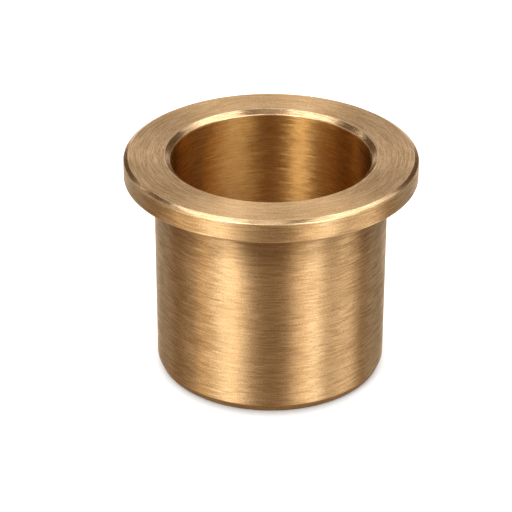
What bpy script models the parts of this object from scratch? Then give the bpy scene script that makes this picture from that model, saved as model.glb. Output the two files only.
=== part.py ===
"""Flanged sleeve bushing, turned in one piece from tin bronze.

Metres, +Z up. The origin is the centre of the sleeve's end face, and +Z is the axis of the bore,
from the plain end up to the flange.
"""

from math import cos, radians, sin

import bpy

MM = 0.001

# Driving dimensions.
BORE_RADIUS = 15.0 * MM
SLEEVE_RADIUS = 17.5 * MM
FLANGE_RADIUS = 22.0 * MM
OVERALL_LENGTH = 34.5 * MM
FLANGE_THICKNESS = 3.4 * MM

# Chamfers and edge breaks. A width is measured along the radius and a height along the axis.
MOUTH_CHAMFER_WIDTH = 0.9 * MM
MOUTH_CHAMFER_HEIGHT = 0.7 * MM
FLANGE_CHAMFER_WIDTH = 0.7 * MM
FLANGE_CHAMFER_HEIGHT = 0.42 * MM
FLANGE_BREAK = 0.2 * MM
ROOT_FILLET_RADIUS = 0.4 * MM
LEAD_IN_WIDTH = 0.5 * MM
LEAD_IN_HEIGHT = 1.2 * MM
NOSE_BREAK_WIDTH = 0.15 * MM
NOSE_BREAK_HEIGHT = 0.1 * MM
BORE_END_BREAK = 0.3 * MM

# Levels along the axis.
END_Z = 0.0
FLANGE_FACE_Z = OVERALL_LENGTH
FLANGE_SEAT_Z = OVERALL_LENGTH - FLANGE_THICKNESS

# Fineness of the turned surface.
TURN_STEPS = 120
FILLET_STEPS = 4
MERGE_DISTANCE = 0.00001
SHARP_EDGE_ANGLE = 12.0

BRONZE_COLOUR = (0.55, 0.34, 0.15, 1.0)
BRONZE_ROUGHNESS = 0.32


def clear_scene():
    for item in list(bpy.data.objects):
        bpy.data.objects.remove(item, do_unlink=True)


def bronze_material():
    material = bpy.data.materials.new("turned_bronze")
    material.use_nodes = True
    shader = material.node_tree.nodes["Principled BSDF"]
    shader.inputs["Base Color"].default_value = BRONZE_COLOUR
    shader.inputs["Metallic"].default_value = 1.0
    shader.inputs["Roughness"].default_value = BRONZE_ROUGHNESS
    return material


def arc(centre, radius, start, end, steps):
    """Points of an arc in the (radius, height) plane, with its angles in degrees."""
    points = []
    for step in range(steps + 1):
        angle = radians(start + (end - start) * step / steps)
        points.append((centre[0] + radius * cos(angle), centre[1] + radius * sin(angle)))
    return points


def flange_outline():
    """The flange's rim, from the edge of its face down to its seat."""
    return [
        (FLANGE_RADIUS - FLANGE_CHAMFER_WIDTH, FLANGE_FACE_Z),
        (FLANGE_RADIUS, FLANGE_FACE_Z - FLANGE_CHAMFER_HEIGHT),
        (FLANGE_RADIUS, FLANGE_SEAT_Z + FLANGE_BREAK),
        (FLANGE_RADIUS - FLANGE_BREAK, FLANGE_SEAT_Z),
    ]


def sleeve_outline():
    """The press-fit side, from the fillet under the flange down past the lead-in to the end face."""
    fillet_centre = (SLEEVE_RADIUS + ROOT_FILLET_RADIUS, FLANGE_SEAT_Z - ROOT_FILLET_RADIUS)
    nose_radius = SLEEVE_RADIUS - LEAD_IN_WIDTH
    return arc(fillet_centre, ROOT_FILLET_RADIUS, 90.0, 180.0, FILLET_STEPS) + [
        (SLEEVE_RADIUS, END_Z + LEAD_IN_HEIGHT),
        (nose_radius, END_Z + NOSE_BREAK_HEIGHT),
        (nose_radius - NOSE_BREAK_WIDTH, END_Z),
    ]


def bore_outline():
    """The running surface, from the end face up to the chamfered mouth in the flange's face."""
    return [
        (BORE_RADIUS + BORE_END_BREAK, END_Z),
        (BORE_RADIUS, END_Z + BORE_END_BREAK),
        (BORE_RADIUS, FLANGE_FACE_Z - MOUTH_CHAMFER_HEIGHT),
        (BORE_RADIUS + MOUTH_CHAMFER_WIDTH, FLANGE_FACE_Z),
    ]


def turned_object(name, outline, material):
    """A closed outline of (radius, height) points, turned once about the Z axis."""
    count = len(outline)
    vertices = [(radius, 0.0, height) for radius, height in outline]
    edges = [(index, (index + 1) % count) for index in range(count)]
    mesh = bpy.data.meshes.new(name)
    mesh.from_pydata(vertices, edges, [])
    mesh.materials.append(material)
    turned = bpy.data.objects.new(name, mesh)
    bpy.context.collection.objects.link(turned)

    screw = turned.modifiers.new("turning", "SCREW")
    screw.axis = "Z"
    screw.angle = radians(360.0)
    screw.steps = TURN_STEPS
    screw.render_steps = TURN_STEPS
    screw.use_merge_vertices = True
    screw.merge_threshold = MERGE_DISTANCE
    return turned


def apply_turning(turned):
    """Keep the turned surface as the object's own mesh, smooth between its turned edges."""
    depsgraph = bpy.context.evaluated_depsgraph_get()
    surface = bpy.data.meshes.new_from_object(turned.evaluated_get(depsgraph))
    surface.name = turned.name
    turned.modifiers.clear()
    turned.data = surface
    surface.shade_smooth()
    surface.set_sharp_from_angle(angle=radians(SHARP_EDGE_ANGLE))


def build_bushing():
    outline = flange_outline() + sleeve_outline() + bore_outline()
    bushing = turned_object("flanged_bushing", outline, bronze_material())
    apply_turning(bushing)


clear_scene()
build_bushing()
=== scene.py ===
from math import acos, ceil, cos, pi, radians, sin, tan

import bmesh
import bpy
from mathutils import Matrix, Vector


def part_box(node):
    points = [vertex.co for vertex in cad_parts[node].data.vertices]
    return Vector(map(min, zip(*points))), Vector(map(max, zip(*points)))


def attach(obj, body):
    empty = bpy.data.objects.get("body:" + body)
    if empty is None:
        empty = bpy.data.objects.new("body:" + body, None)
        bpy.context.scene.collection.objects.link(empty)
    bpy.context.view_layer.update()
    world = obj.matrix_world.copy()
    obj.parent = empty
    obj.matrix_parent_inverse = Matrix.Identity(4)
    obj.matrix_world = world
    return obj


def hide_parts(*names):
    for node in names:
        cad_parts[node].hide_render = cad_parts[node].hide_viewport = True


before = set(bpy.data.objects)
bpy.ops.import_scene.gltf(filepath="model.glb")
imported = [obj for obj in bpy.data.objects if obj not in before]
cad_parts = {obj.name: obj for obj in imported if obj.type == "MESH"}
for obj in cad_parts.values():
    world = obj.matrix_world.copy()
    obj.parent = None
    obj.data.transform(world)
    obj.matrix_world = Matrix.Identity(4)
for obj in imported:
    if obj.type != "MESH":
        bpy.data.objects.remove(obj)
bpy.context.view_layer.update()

MM = 0.001

# The bushing's main sizes come from its CAD node, and the rest repeat part.py's.
low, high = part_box("flanged_bushing")
FLANGE_RADIUS = high.x
END_Z = low.z
FACE_Z = high.z
FLANGE_THICKNESS = 3.4 * MM
SEAT_Z = FACE_Z - FLANGE_THICKNESS
BORE_RADIUS = 15.0 * MM
SLEEVE_RADIUS = 17.5 * MM
MOUTH_CHAMFER_WIDTH = 0.9 * MM
MOUTH_CHAMFER_HEIGHT = 0.7 * MM
FLANGE_CHAMFER_WIDTH = 0.7 * MM
FLANGE_CHAMFER_HEIGHT = 0.42 * MM
LEAD_IN_WIDTH = 0.5 * MM
LEAD_IN_HEIGHT = 1.2 * MM
BORE_END_BREAK = 0.3 * MM

# Radii of the rounded edges.
FINE_EDGE = 0.25 * MM
BREAK_EDGE = 0.1 * MM
RIM_EDGE = 0.25 * MM
NOSE_EDGE = 0.7 * MM
FOOT_EDGE = 0.3 * MM
ROOT_FILLET = 0.4 * MM

# Fineness of the turned surface. A rounded edge has one more ring this far past each of its ends.
SEGMENTS = 512
ARC_STEP = radians(8.0)
HOLD = 0.02 * MM

# Colours of the turned surfaces.
FACE_BRONZE = (0.80, 0.53, 0.27)
SLEEVE_BRONZE = (0.80, 0.53, 0.26)
# The lead-in is darker than the sleeve: painted shade on the chamfer that faces down.
SHADED_LEAD_IN_BRONZE = (0.56, 0.35, 0.155)
CUT_BRONZE = (0.84, 0.56, 0.31)
WORN_BRONZE = (0.95, 0.63, 0.35)
# The bore's bronze is darker and deeper than the rest: painted shade inside the bore.
SHADED_BORE_BRONZE = (0.72, 0.405, 0.125)
# The foot edge is nearly black: painted contact shade where the bushing meets the floor.
SHADED_FOOT_BRONZE = (0.32, 0.17, 0.065)

# The share of light left at a glancing angle. In the bore none is left, which darkens the walls seen at a
# glance: painted shade at the bore's far ends.
BARE_GLANCE = 1.0
BORE_GLANCE = 0.0

# The lathe's tool marks, as cells per radian around the axis and per metre across the rings.
FINE_MARKS = {"around": 7.5, "across": 7500.0, "detail": 1.0}
WISP_MARKS = {"around": 4.0, "across": 2600.0, "detail": 4.0, "roughness": 0.65, "seed": 7.0}
BROAD_MARKS = {"around": 1.6, "across": 420.0, "detail": 2.0, "seed": 19.0}
SLOPE_MARKS = {"around": 6.0, "across": 4500.0, "detail": 2.0, "seed": 31.0}

# Grains of the metal and blotches of its tarnish, in cells per metre.
SPECKS = {"Scale": 5200.0, "Detail": 1.0}
BLOTCHES = {"Scale": 160.0, "Detail": 4.0}

# How the marks change the metal: its colour where they are deepest and lightest, its gloss and its slope.
DEEP_TONE = (0.72, 0.66, 0.58)
LIGHT_TONE = (1.2, 1.25, 1.35)
TONE_SPAN = (0.40, 0.60)
GLOSS_SPAN = (0.35, 0.65)
DULL_SHARE = 1.2
GLOSSY_SHARE = 0.8
SLOPE = 0.30
MARK_DEPTH = 0.008 * MM

# A quarter turn sets the brushed stretch across the rings.
QUARTER_TURN = 0.25

# Numbers of the Mix node's sockets for colours.
MIX_FIRST = 6
MIX_SECOND = 7
MIX_RESULT = 2

# Painted shade in the corner under the flange, where the flange shades the sleeve: how far down it reaches,
# and its share at the top.
ROOT_SHADE = (0.20, 0.11, 0.045)
ROOT_SHADE_DEPTH = 9.0 * MM
ROOT_SHADE_SHARE = 0.42
ROOT_SHADE_PATCHES = {"around": 3.0, "across": 900.0, "detail": 2.0, "seed": 43.0}

# The camera, by its direction from the middle of the bushing.
CAMERA_ELEVATION = radians(28.75)
CAMERA_DISTANCE = 15.0 * FLANGE_RADIUS
CAMERA_PITCH = radians(28.78)
CAMERA_YAW = radians(-0.44)
CAMERA_ROLL = radians(0.11)
CAMERA_LENS = 152.1
SENSOR_WIDTH = 36.0
NEAREST = 0.01
FURTHEST = 10.0

# The floor, and the patch of it inside the bore, lie just below the bushing, with the patch on top.
FLOOR_RADIUS = 3.0
FLOOR_DROP = 0.02 * MM
FLOOR_GREY = 0.4
PATCH_RADIUS = BORE_RADIUS + BORE_END_BREAK / 2
PATCH_DROP = 0.01 * MM
PATCH_GREY = 0.5
PATCH_GLOW = 0.75
PATCH_TINT = (1.0, 0.95, 0.88)
DISC_SEGMENTS = 128

# The contact shadow, painted into the floor's glow: how far it reaches, and the lean, towards behind the
# bushing, of the occlusion reading that shapes it. The floor's glow runs from its darkest to its brightest
# as the open share grows.
SHADOW_REACH = 3.0 * MM
SHADOW_LEAN = (0.0, 1.0, 1.0)
OPEN_SHARE = (0.25, 0.9)
FLOOR_GLOW = (0.15, 1.0)
SHADOW_SAMPLES = 16

# The room that the metal sees, and the heights of a direction between which one part fades into the other.
WHITE = (1.0, 1.0, 1.0)
ROOM_BELOW = (0.32, 0.235, 0.17)
ROOM_ABOVE = (0.10, 0.07, 0.045)
ROOM_FADE = (-0.1, 0.2)

# The lamps. A lamp's energy is its radiance, times its area, times this.
ENERGY_PER_RADIANCE = 4.0
LAMP_DISTANCE = 0.6
CEILING_DISTANCE = 1.5
OVERHEAD = 89.9
LEFT_CORE_LIGHT = (0.55, 0.78, 1.0)
RIGHT_CORE_LIGHT = (0.62, 0.80, 1.0)
WARM_LIGHT = (1.0, 0.86, 0.68)
SIDE_LIGHT = (0.5, 0.78, 1.0)


def rounded_corner(before, corner, after, radius):
    """Points that round a corner of an outline, with one more held close to each end of the arc."""
    back = (before - corner).normalized()
    ahead = (after - corner).normalized()
    half_angle = acos(max(-1.0, min(1.0, back.dot(ahead)))) / 2
    reach = radius / tan(half_angle)
    middle = corner + (back + ahead).normalized() * (radius / sin(half_angle))
    start = corner + back * reach - middle
    end = corner + ahead * reach - middle
    sweep = pi - 2 * half_angle
    if start.x * end.y < start.y * end.x:
        sweep = -sweep
    steps = max(2, ceil(abs(sweep) / ARC_STEP))
    points = [corner + back * (reach + HOLD)]
    for step in range(steps + 1):
        points.append(middle + Matrix.Rotation(sweep * step / steps, 2) @ start)
    points.append(corner + ahead * (reach + HOLD))
    return points


def rounded_outline(corners):
    """A closed outline of (point, surface).

    A corner is (radius, height, edge radius, surface of the edge, surface after it).
    """
    outline = []
    for index, (radius, height, edge, edge_surface, surface) in enumerate(corners):
        before = Vector(corners[index - 1][:2])
        after = Vector(corners[(index + 1) % len(corners)][:2])
        points = rounded_corner(before, Vector((radius, height)), after, edge)
        for point in points[:-1]:
            outline.append((point, edge_surface))
        outline.append((points[-1], surface))
    return outline


def bushing_corners():
    """The bushing's section: down its outside, across its end, up its bore and across its face."""
    return [
        (FLANGE_RADIUS - FLANGE_CHAMFER_WIDTH, FACE_Z, FINE_EDGE, "edge", "chamfer"),
        (FLANGE_RADIUS, FACE_Z - FLANGE_CHAMFER_HEIGHT, FINE_EDGE, "edge", "rim"),
        (FLANGE_RADIUS, SEAT_Z, RIM_EDGE, "edge", "face"),
        (SLEEVE_RADIUS, SEAT_Z, ROOT_FILLET, "edge", "sleeve"),
        (SLEEVE_RADIUS, END_Z + LEAD_IN_HEIGHT, NOSE_EDGE, "sleeve", "lead_in"),
        (SLEEVE_RADIUS - LEAD_IN_WIDTH, END_Z, FOOT_EDGE, "foot", "face"),
        (BORE_RADIUS + BORE_END_BREAK, END_Z, BREAK_EDGE, "edge", "chamfer"),
        (BORE_RADIUS, END_Z + BORE_END_BREAK, BREAK_EDGE, "edge", "bore"),
        (BORE_RADIUS, FACE_Z - MOUTH_CHAMFER_HEIGHT, FINE_EDGE, "edge", "chamfer"),
        (BORE_RADIUS + MOUTH_CHAMFER_WIDTH, FACE_Z, FINE_EDGE, "edge", "face"),
    ]


def turned_piece(name, outline, materials):
    """The outline turned about Z, each stretch in its own material."""
    names = list(materials)
    count = len(outline)
    vertices = []
    faces = []
    slots = []
    for segment in range(SEGMENTS):
        angle = 2 * pi * segment / SEGMENTS
        here = segment * count
        there = (segment + 1) % SEGMENTS * count
        for index, (point, surface) in enumerate(outline):
            after = (index + 1) % count
            vertices.append((point.x * cos(angle), point.x * sin(angle), point.y))
            faces.append((here + index, here + after, there + after, there + index))
            slots.append(names.index(surface))
    mesh = bpy.data.meshes.new(name)
    mesh.from_pydata(vertices, [], faces)
    for material in materials.values():
        mesh.materials.append(material)
    mesh.polygons.foreach_set("material_index", slots)
    mesh.shade_smooth()
    piece = bpy.data.objects.new(name, mesh)
    bpy.context.collection.objects.link(piece)
    return piece


class Nodes:
    """Short calls that add nodes to the tree of a material or of the world."""

    def __init__(self, tree):
        self.tree = tree

    def add(self, kind, inputs=None, **settings):
        """A new node. Each input is another node's socket to link, or a value to set."""
        node = self.tree.nodes.new(kind)
        for key, value in settings.items():
            setattr(node, key, value)
        for key, value in (inputs or {}).items():
            self.feed(node.inputs[key], value)
        return node

    def feed(self, socket, value):
        if isinstance(value, bpy.types.NodeSocket):
            self.tree.links.new(value, socket)
        else:
            socket.default_value = value

    def math(self, operation, *values):
        return self.add("ShaderNodeMath", dict(enumerate(values)), operation=operation).outputs[0]

    def blend(self, *parts):
        """The sum of (value, weight) parts."""
        total = 0.0
        for value, weight in parts:
            total = self.math("MULTIPLY_ADD", value, weight, total)
        return total

    def vector(self, operation, *values):
        node = self.add("ShaderNodeVectorMath", dict(enumerate(values)), operation=operation)
        return node.outputs["Value" if operation == "LENGTH" else "Vector"]

    def scaled(self, vector, scale):
        node = self.add("ShaderNodeVectorMath", {0: vector, "Scale": scale}, operation="SCALE")
        return node.outputs["Vector"]

    def noise(self, settings):
        """Noise that is even in all directions, fixed to the object."""
        return self.add("ShaderNodeTexNoise", {"Vector": self.place(), **settings}).outputs["Fac"]

    def place(self):
        """The point of the surface, in the object's own coordinates."""
        return self.add("ShaderNodeTexCoord").outputs["Object"]

    def spread(self, value, span, result=(0.0, 1.0), kind="LINEAR"):
        """The value carried from one span to another, and held at its ends."""
        ends = {"From Min": span[0], "From Max": span[1], "To Min": result[0], "To Max": result[1]}
        return self.add("ShaderNodeMapRange", {"Value": value, **ends}, interpolation_type=kind).outputs[0]

    def mixed(self, share, first, second):
        """The first colour, turned into the second by its share."""
        inputs = {"Factor": share, MIX_FIRST: first, MIX_SECOND: second}
        return self.add("ShaderNodeMix", inputs, data_type="RGBA").outputs[MIX_RESULT]


def opaque(colour):
    return (*colour, 1.0)


def ring_noise(nodes, around, across, detail, roughness=0.6, seed=0.0):
    """Noise drawn out into rings about Z: cells per radian around, and per metre across."""
    place = nodes.place()
    flat = nodes.vector("MULTIPLY", place, (1.0, 1.0, 0.0))
    turn = nodes.scaled(nodes.vector("NORMALIZE", flat), around)
    rise = nodes.vector("MULTIPLY", place, (0.0, 0.0, across))
    where = nodes.vector("ADD", turn, rise)
    outward = nodes.math("MULTIPLY_ADD", nodes.vector("LENGTH", flat), across, seed)
    settings = {"Vector": where, "W": outward, "Scale": 1.0, "Detail": detail, "Roughness": roughness}
    return nodes.add("ShaderNodeTexNoise", settings, noise_dimensions="4D").outputs["Fac"]


def painted_root_shade(nodes):
    """The share of painted shade in the corner under the flange, where the flange shades the sleeve."""
    height = nodes.add("ShaderNodeSeparateXYZ", {0: nodes.place()}).outputs["Z"]
    patchy = nodes.math("MULTIPLY", ring_noise(nodes, **ROOT_SHADE_PATCHES), ROOT_SHADE_DEPTH)
    rise = nodes.math("ADD", height, nodes.math("SUBTRACT", patchy, ROOT_SHADE_DEPTH / 2))
    return nodes.spread(rise, (SEAT_Z - ROOT_SHADE_DEPTH, SEAT_Z), (0.0, ROOT_SHADE_SHARE), "SMOOTHSTEP")


def marked_colour(nodes, tone, colour):
    """The colour where the marks are deepest, turning into the colour where they are lightest."""
    deep = [channel * share for channel, share in zip(colour, DEEP_TONE)]
    light = [min(1.0, channel * share) for channel, share in zip(colour, LIGHT_TONE)]
    return nodes.mixed(nodes.spread(tone, TONE_SPAN), opaque(deep), opaque(light))


def marked_normal(nodes, tangent, fine, grain):
    """The normal, swayed along the rings by the slope of the marks and bumped by their depth."""
    slope = nodes.math("SUBTRACT", ring_noise(nodes, **SLOPE_MARKS), 0.5)
    sway = nodes.scaled(tangent, nodes.math("MULTIPLY", slope, grain * SLOPE))
    flat = nodes.add("ShaderNodeNewGeometry").outputs["Normal"]
    swayed = nodes.vector("NORMALIZE", nodes.vector("ADD", flat, sway))
    bump = {"Height": fine, "Strength": grain, "Distance": MARK_DEPTH, "Normal": swayed}
    return nodes.add("ShaderNodeBump", bump).outputs["Normal"]


def bronze(name, colour, roughness, anisotropy, grain, glance=BARE_GLANCE, root_shaded=False):
    """Bronze turned in a lathe. Its tool marks are rings that vary in tone, gloss and slope."""
    material = bpy.data.materials.new(name)
    material.use_nodes = True
    nodes = Nodes(material.node_tree)
    shader = material.node_tree.nodes["Principled BSDF"]
    fine = ring_noise(nodes, **FINE_MARKS)
    wisp = ring_noise(nodes, **WISP_MARKS)
    broad = ring_noise(nodes, **BROAD_MARKS)
    speck = nodes.noise(SPECKS)
    blotch = nodes.noise(BLOTCHES)

    tone = nodes.blend((fine, 0.40), (wisp, 0.18), (broad, 0.08), (blotch, 0.08), (speck, 0.26))
    tint = marked_colour(nodes, tone, colour)
    # Painted shade: the sleeve turns darker towards the flange.
    if root_shaded:
        tint = nodes.mixed(painted_root_shade(nodes), tint, opaque(ROOT_SHADE))
    nodes.feed(shader.inputs["Base Color"], tint)

    gloss = nodes.blend((fine, 0.4), (wisp, 0.4), (blotch, 0.2))
    roughness_span = (roughness * DULL_SHARE, roughness * GLOSSY_SHARE)
    nodes.feed(shader.inputs["Roughness"], nodes.spread(gloss, GLOSS_SPAN, roughness_span))

    tangent = nodes.add("ShaderNodeTangent", direction_type="RADIAL", axis="Z").outputs[0]
    nodes.feed(shader.inputs["Normal"], marked_normal(nodes, tangent, fine, grain))
    nodes.feed(shader.inputs["Tangent"], tangent)
    shader.inputs["Metallic"].default_value = 1.0
    shader.inputs["Specular Tint"].default_value = (glance, glance, glance, 1.0)
    shader.inputs["Anisotropic"].default_value = anisotropy
    shader.inputs["Anisotropic Rotation"].default_value = QUARTER_TURN
    return material


def build_bushing():
    materials = {
        "face": bronze("bronze_face", FACE_BRONZE, roughness=0.45, anisotropy=0.8, grain=0.4),
        "chamfer": bronze("bronze_chamfer", CUT_BRONZE, roughness=0.24, anisotropy=0.4, grain=0.4),
        "edge": bronze("bronze_edge", WORN_BRONZE, roughness=0.40, anisotropy=0.3, grain=0.3),
        "rim": bronze("bronze_rim", SLEEVE_BRONZE, roughness=0.44, anisotropy=0.9, grain=0.6),
        "sleeve": bronze("bronze_sleeve", SLEEVE_BRONZE, 0.44, anisotropy=0.95, grain=0.6, root_shaded=True),
        "lead_in": bronze("bronze_lead_in", SHADED_LEAD_IN_BRONZE, roughness=0.42, anisotropy=0.3, grain=0.5),
        "foot": bronze("bronze_foot_shade", SHADED_FOOT_BRONZE, roughness=0.45, anisotropy=0.3, grain=0.3),
        "bore": bronze("bronze_bore", SHADED_BORE_BRONZE, 0.4, anisotropy=0.95, grain=1.0, glance=BORE_GLANCE),
    }
    piece = turned_piece("bushing_surface", rounded_outline(bushing_corners()), materials)
    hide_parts("flanged_bushing")
    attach(piece, "root")


def add_camera():
    data = bpy.data.cameras.new("camera")
    data.lens = CAMERA_LENS
    data.sensor_width = SENSOR_WIDTH
    data.clip_start = NEAREST
    data.clip_end = FURTHEST
    camera = bpy.data.objects.new("camera", data)
    bpy.context.collection.objects.link(camera)
    turn = Matrix.Rotation(-CAMERA_YAW, 4, "Z")
    tilt = Matrix.Rotation(pi / 2 - CAMERA_PITCH, 4, "X")
    roll = Matrix.Rotation(CAMERA_ROLL, 4, "Z")
    middle = Vector((0.0, 0.0, (FACE_Z + END_Z) / 2))
    away = Vector((0.0, -cos(CAMERA_ELEVATION), sin(CAMERA_ELEVATION))) * CAMERA_DISTANCE
    camera.matrix_world = Matrix.Translation(middle + away) @ turn @ tilt @ roll
    bpy.context.scene.camera = camera


def stage_disc(name, radius, height, grey):
    """A level disc of the stage in matte grey, with its material's nodes and its shader."""
    mesh = bpy.data.meshes.new(name)
    shape = bmesh.new()
    bmesh.ops.create_circle(shape, cap_ends=True, segments=DISC_SEGMENTS, radius=radius)
    shape.to_mesh(mesh)
    shape.free()
    disc = bpy.data.objects.new(name, mesh)
    disc.location.z = height
    bpy.context.collection.objects.link(disc)

    material = bpy.data.materials.new(name)
    material.use_nodes = True
    shader = material.node_tree.nodes["Principled BSDF"]
    shader.inputs["Base Color"].default_value = (grey, grey, grey, 1.0)
    shader.inputs["Roughness"].default_value = 1.0
    shader.inputs["Specular IOR Level"].default_value = 0.0
    mesh.materials.append(material)
    return disc, Nodes(material.node_tree), shader


def add_floor():
    """A pale floor that glows, but for the bushing's contact shadow, which is painted shade in its glow."""
    floor, nodes, shader = stage_disc("floor", FLOOR_RADIUS, END_Z - FLOOR_DROP, FLOOR_GREY)
    lean = nodes.vector("NORMALIZE", SHADOW_LEAN)
    near = {"Distance": SHADOW_REACH, "Normal": lean}
    contact = nodes.add("ShaderNodeAmbientOcclusion", near, samples=SHADOW_SAMPLES)
    glow = nodes.spread(contact.outputs["AO"], OPEN_SHARE, FLOOR_GLOW)
    nodes.feed(shader.inputs["Emission Strength"], glow)
    shader.inputs["Emission Color"].default_value = opaque(WHITE)
    floor.visible_glossy = False
    floor.visible_shadow = False
    floor.visible_diffuse = False


def add_bore_floor():
    """The floor inside the bore. Only the camera sees its glow, which is painted light, dimmed by painted
    shade near the walls.
    """
    _, nodes, shader = stage_disc("bore_floor", PATCH_RADIUS, END_Z - PATCH_DROP, PATCH_GREY)
    walls = nodes.add("ShaderNodeAmbientOcclusion", {"Distance": BORE_RADIUS}, samples=SHADOW_SAMPLES)
    glow = nodes.math("MULTIPLY", walls.outputs["AO"], PATCH_GLOW)
    seen = nodes.add("ShaderNodeLightPath").outputs["Is Camera Ray"]
    nodes.feed(shader.inputs["Emission Strength"], nodes.math("MULTIPLY", glow, seen))
    shader.inputs["Emission Color"].default_value = opaque(PATCH_TINT)


def add_world():
    """A dark room over a dim warm floor, as the metal sees them, and a white backdrop for the camera."""
    world = bpy.data.worlds.new("studio")
    world.use_nodes = True
    nodes = Nodes(world.node_tree)
    below = world.node_tree.nodes["Background"]
    below.inputs["Color"].default_value = opaque(ROOM_BELOW)
    above = nodes.add("ShaderNodeBackground", {"Color": opaque(ROOM_ABOVE)})
    backdrop = nodes.add("ShaderNodeBackground", {"Color": opaque(WHITE)})
    direction = nodes.add("ShaderNodeTexCoord").outputs["Generated"]
    height = nodes.add("ShaderNodeSeparateXYZ", {0: direction}).outputs["Z"]
    rise = nodes.spread(height, ROOM_FADE)
    room = nodes.add("ShaderNodeMixShader", {0: rise, 1: below.outputs[0], 2: above.outputs[0]})
    seen = nodes.add("ShaderNodeLightPath").outputs["Is Camera Ray"]
    mix = nodes.add("ShaderNodeMixShader", {0: seen, 1: room.outputs[0], 2: backdrop.outputs[0]})
    nodes.feed(world.node_tree.nodes["World Output"].inputs["Surface"], mix.outputs[0])
    bpy.context.scene.world = world


def softbox(name, azimuth, elevation, size, radiance, colour=WHITE, distance=LAMP_DISTANCE, reflected=True):
    """An area light aimed at the bushing. Azimuth 0 is the camera's side and 90 the right."""
    data = bpy.data.lights.new(name, "AREA")
    data.shape = "RECTANGLE"
    data.size, data.size_y = size
    data.energy = radiance * size[0] * size[1] * ENERGY_PER_RADIANCE
    data.color = colour
    light = bpy.data.objects.new(name, data)
    bpy.context.collection.objects.link(light)
    turn = radians(azimuth)
    rise = radians(elevation)
    away = Vector((sin(turn) * cos(rise), -cos(turn) * cos(rise), sin(rise)))
    facing = away.to_track_quat("Z", "Y").to_matrix().to_4x4()
    light.matrix_world = Matrix.Translation(away * distance) @ facing
    light.visible_glossy = reflected
    light.visible_camera = False


def light_front():
    """The keys left and right of the camera. Each has a cool core, a warm surround and a high lamp."""
    softbox("left_key_core", -48.0, -4.0, (0.17, 0.70), 0.68, LEFT_CORE_LIGHT)
    softbox("left_key_low", -53.0, -8.0, (0.42, 0.50), 0.93, WARM_LIGHT)
    softbox("left_key_high", -36.5, 42.0, (0.17, 0.42), 7.5)
    softbox("left_fill", -82.0, -14.0, (0.16, 0.45), 0.2)
    softbox("right_key_core", 42.0, -4.0, (0.14, 0.70), 0.90, RIGHT_CORE_LIGHT)
    softbox("right_key_low", 35.0, -8.0, (0.30, 0.50), 0.74, WARM_LIGHT)
    softbox("right_key_high", 45.0, 40.0, (0.37, 0.42), 2.65)
    softbox("right_fill", 77.0, -18.0, (0.25, 0.45), 1.0)


def light_back():
    """Low lamps that edge the sleeve's sides and light its back."""
    softbox("left_side", -130.0, -12.0, (0.45, 0.40), 0.24, SIDE_LIGHT)
    softbox("right_side", 125.0, -12.0, (0.45, 0.40), 0.24, SIDE_LIGHT)
    softbox("back_low", 180.0, -14.0, (0.90, 0.40), 0.45)
    softbox("back", 180.0, 20.0, (0.50, 0.25), 0.7)


def light_top():
    """High lamps for the flange's face, the mouth of the bore and the floor."""
    softbox("roof_left", -98.0, 69.0, (0.27, 0.27), 1.6)
    softbox("roof_right", 108.0, 63.0, (0.33, 0.27), 1.45)
    softbox("roof_right_low", 116.0, 47.0, (0.28, 0.20), 0.55)
    softbox("roof_back", 180.0, 66.0, (0.30, 0.20), 0.9)
    softbox("left_accent", -125.0, 33.0, (0.09, 0.09), 2.2)
    softbox("left_high", -148.0, 50.0, (0.13, 0.13), 0.6)
    softbox("zenith", 0.0, OVERHEAD, (0.12, 0.12), 0.9)
    softbox("floor_light", 0.0, OVERHEAD, (2.0, 2.0), 1.0, distance=CEILING_DISTANCE, reflected=False)


bpy.context.scene.view_settings.view_transform = "Standard"
add_camera()
add_floor()
add_bore_floor()
add_world()
light_front()
light_back()
light_top()
build_bushing()
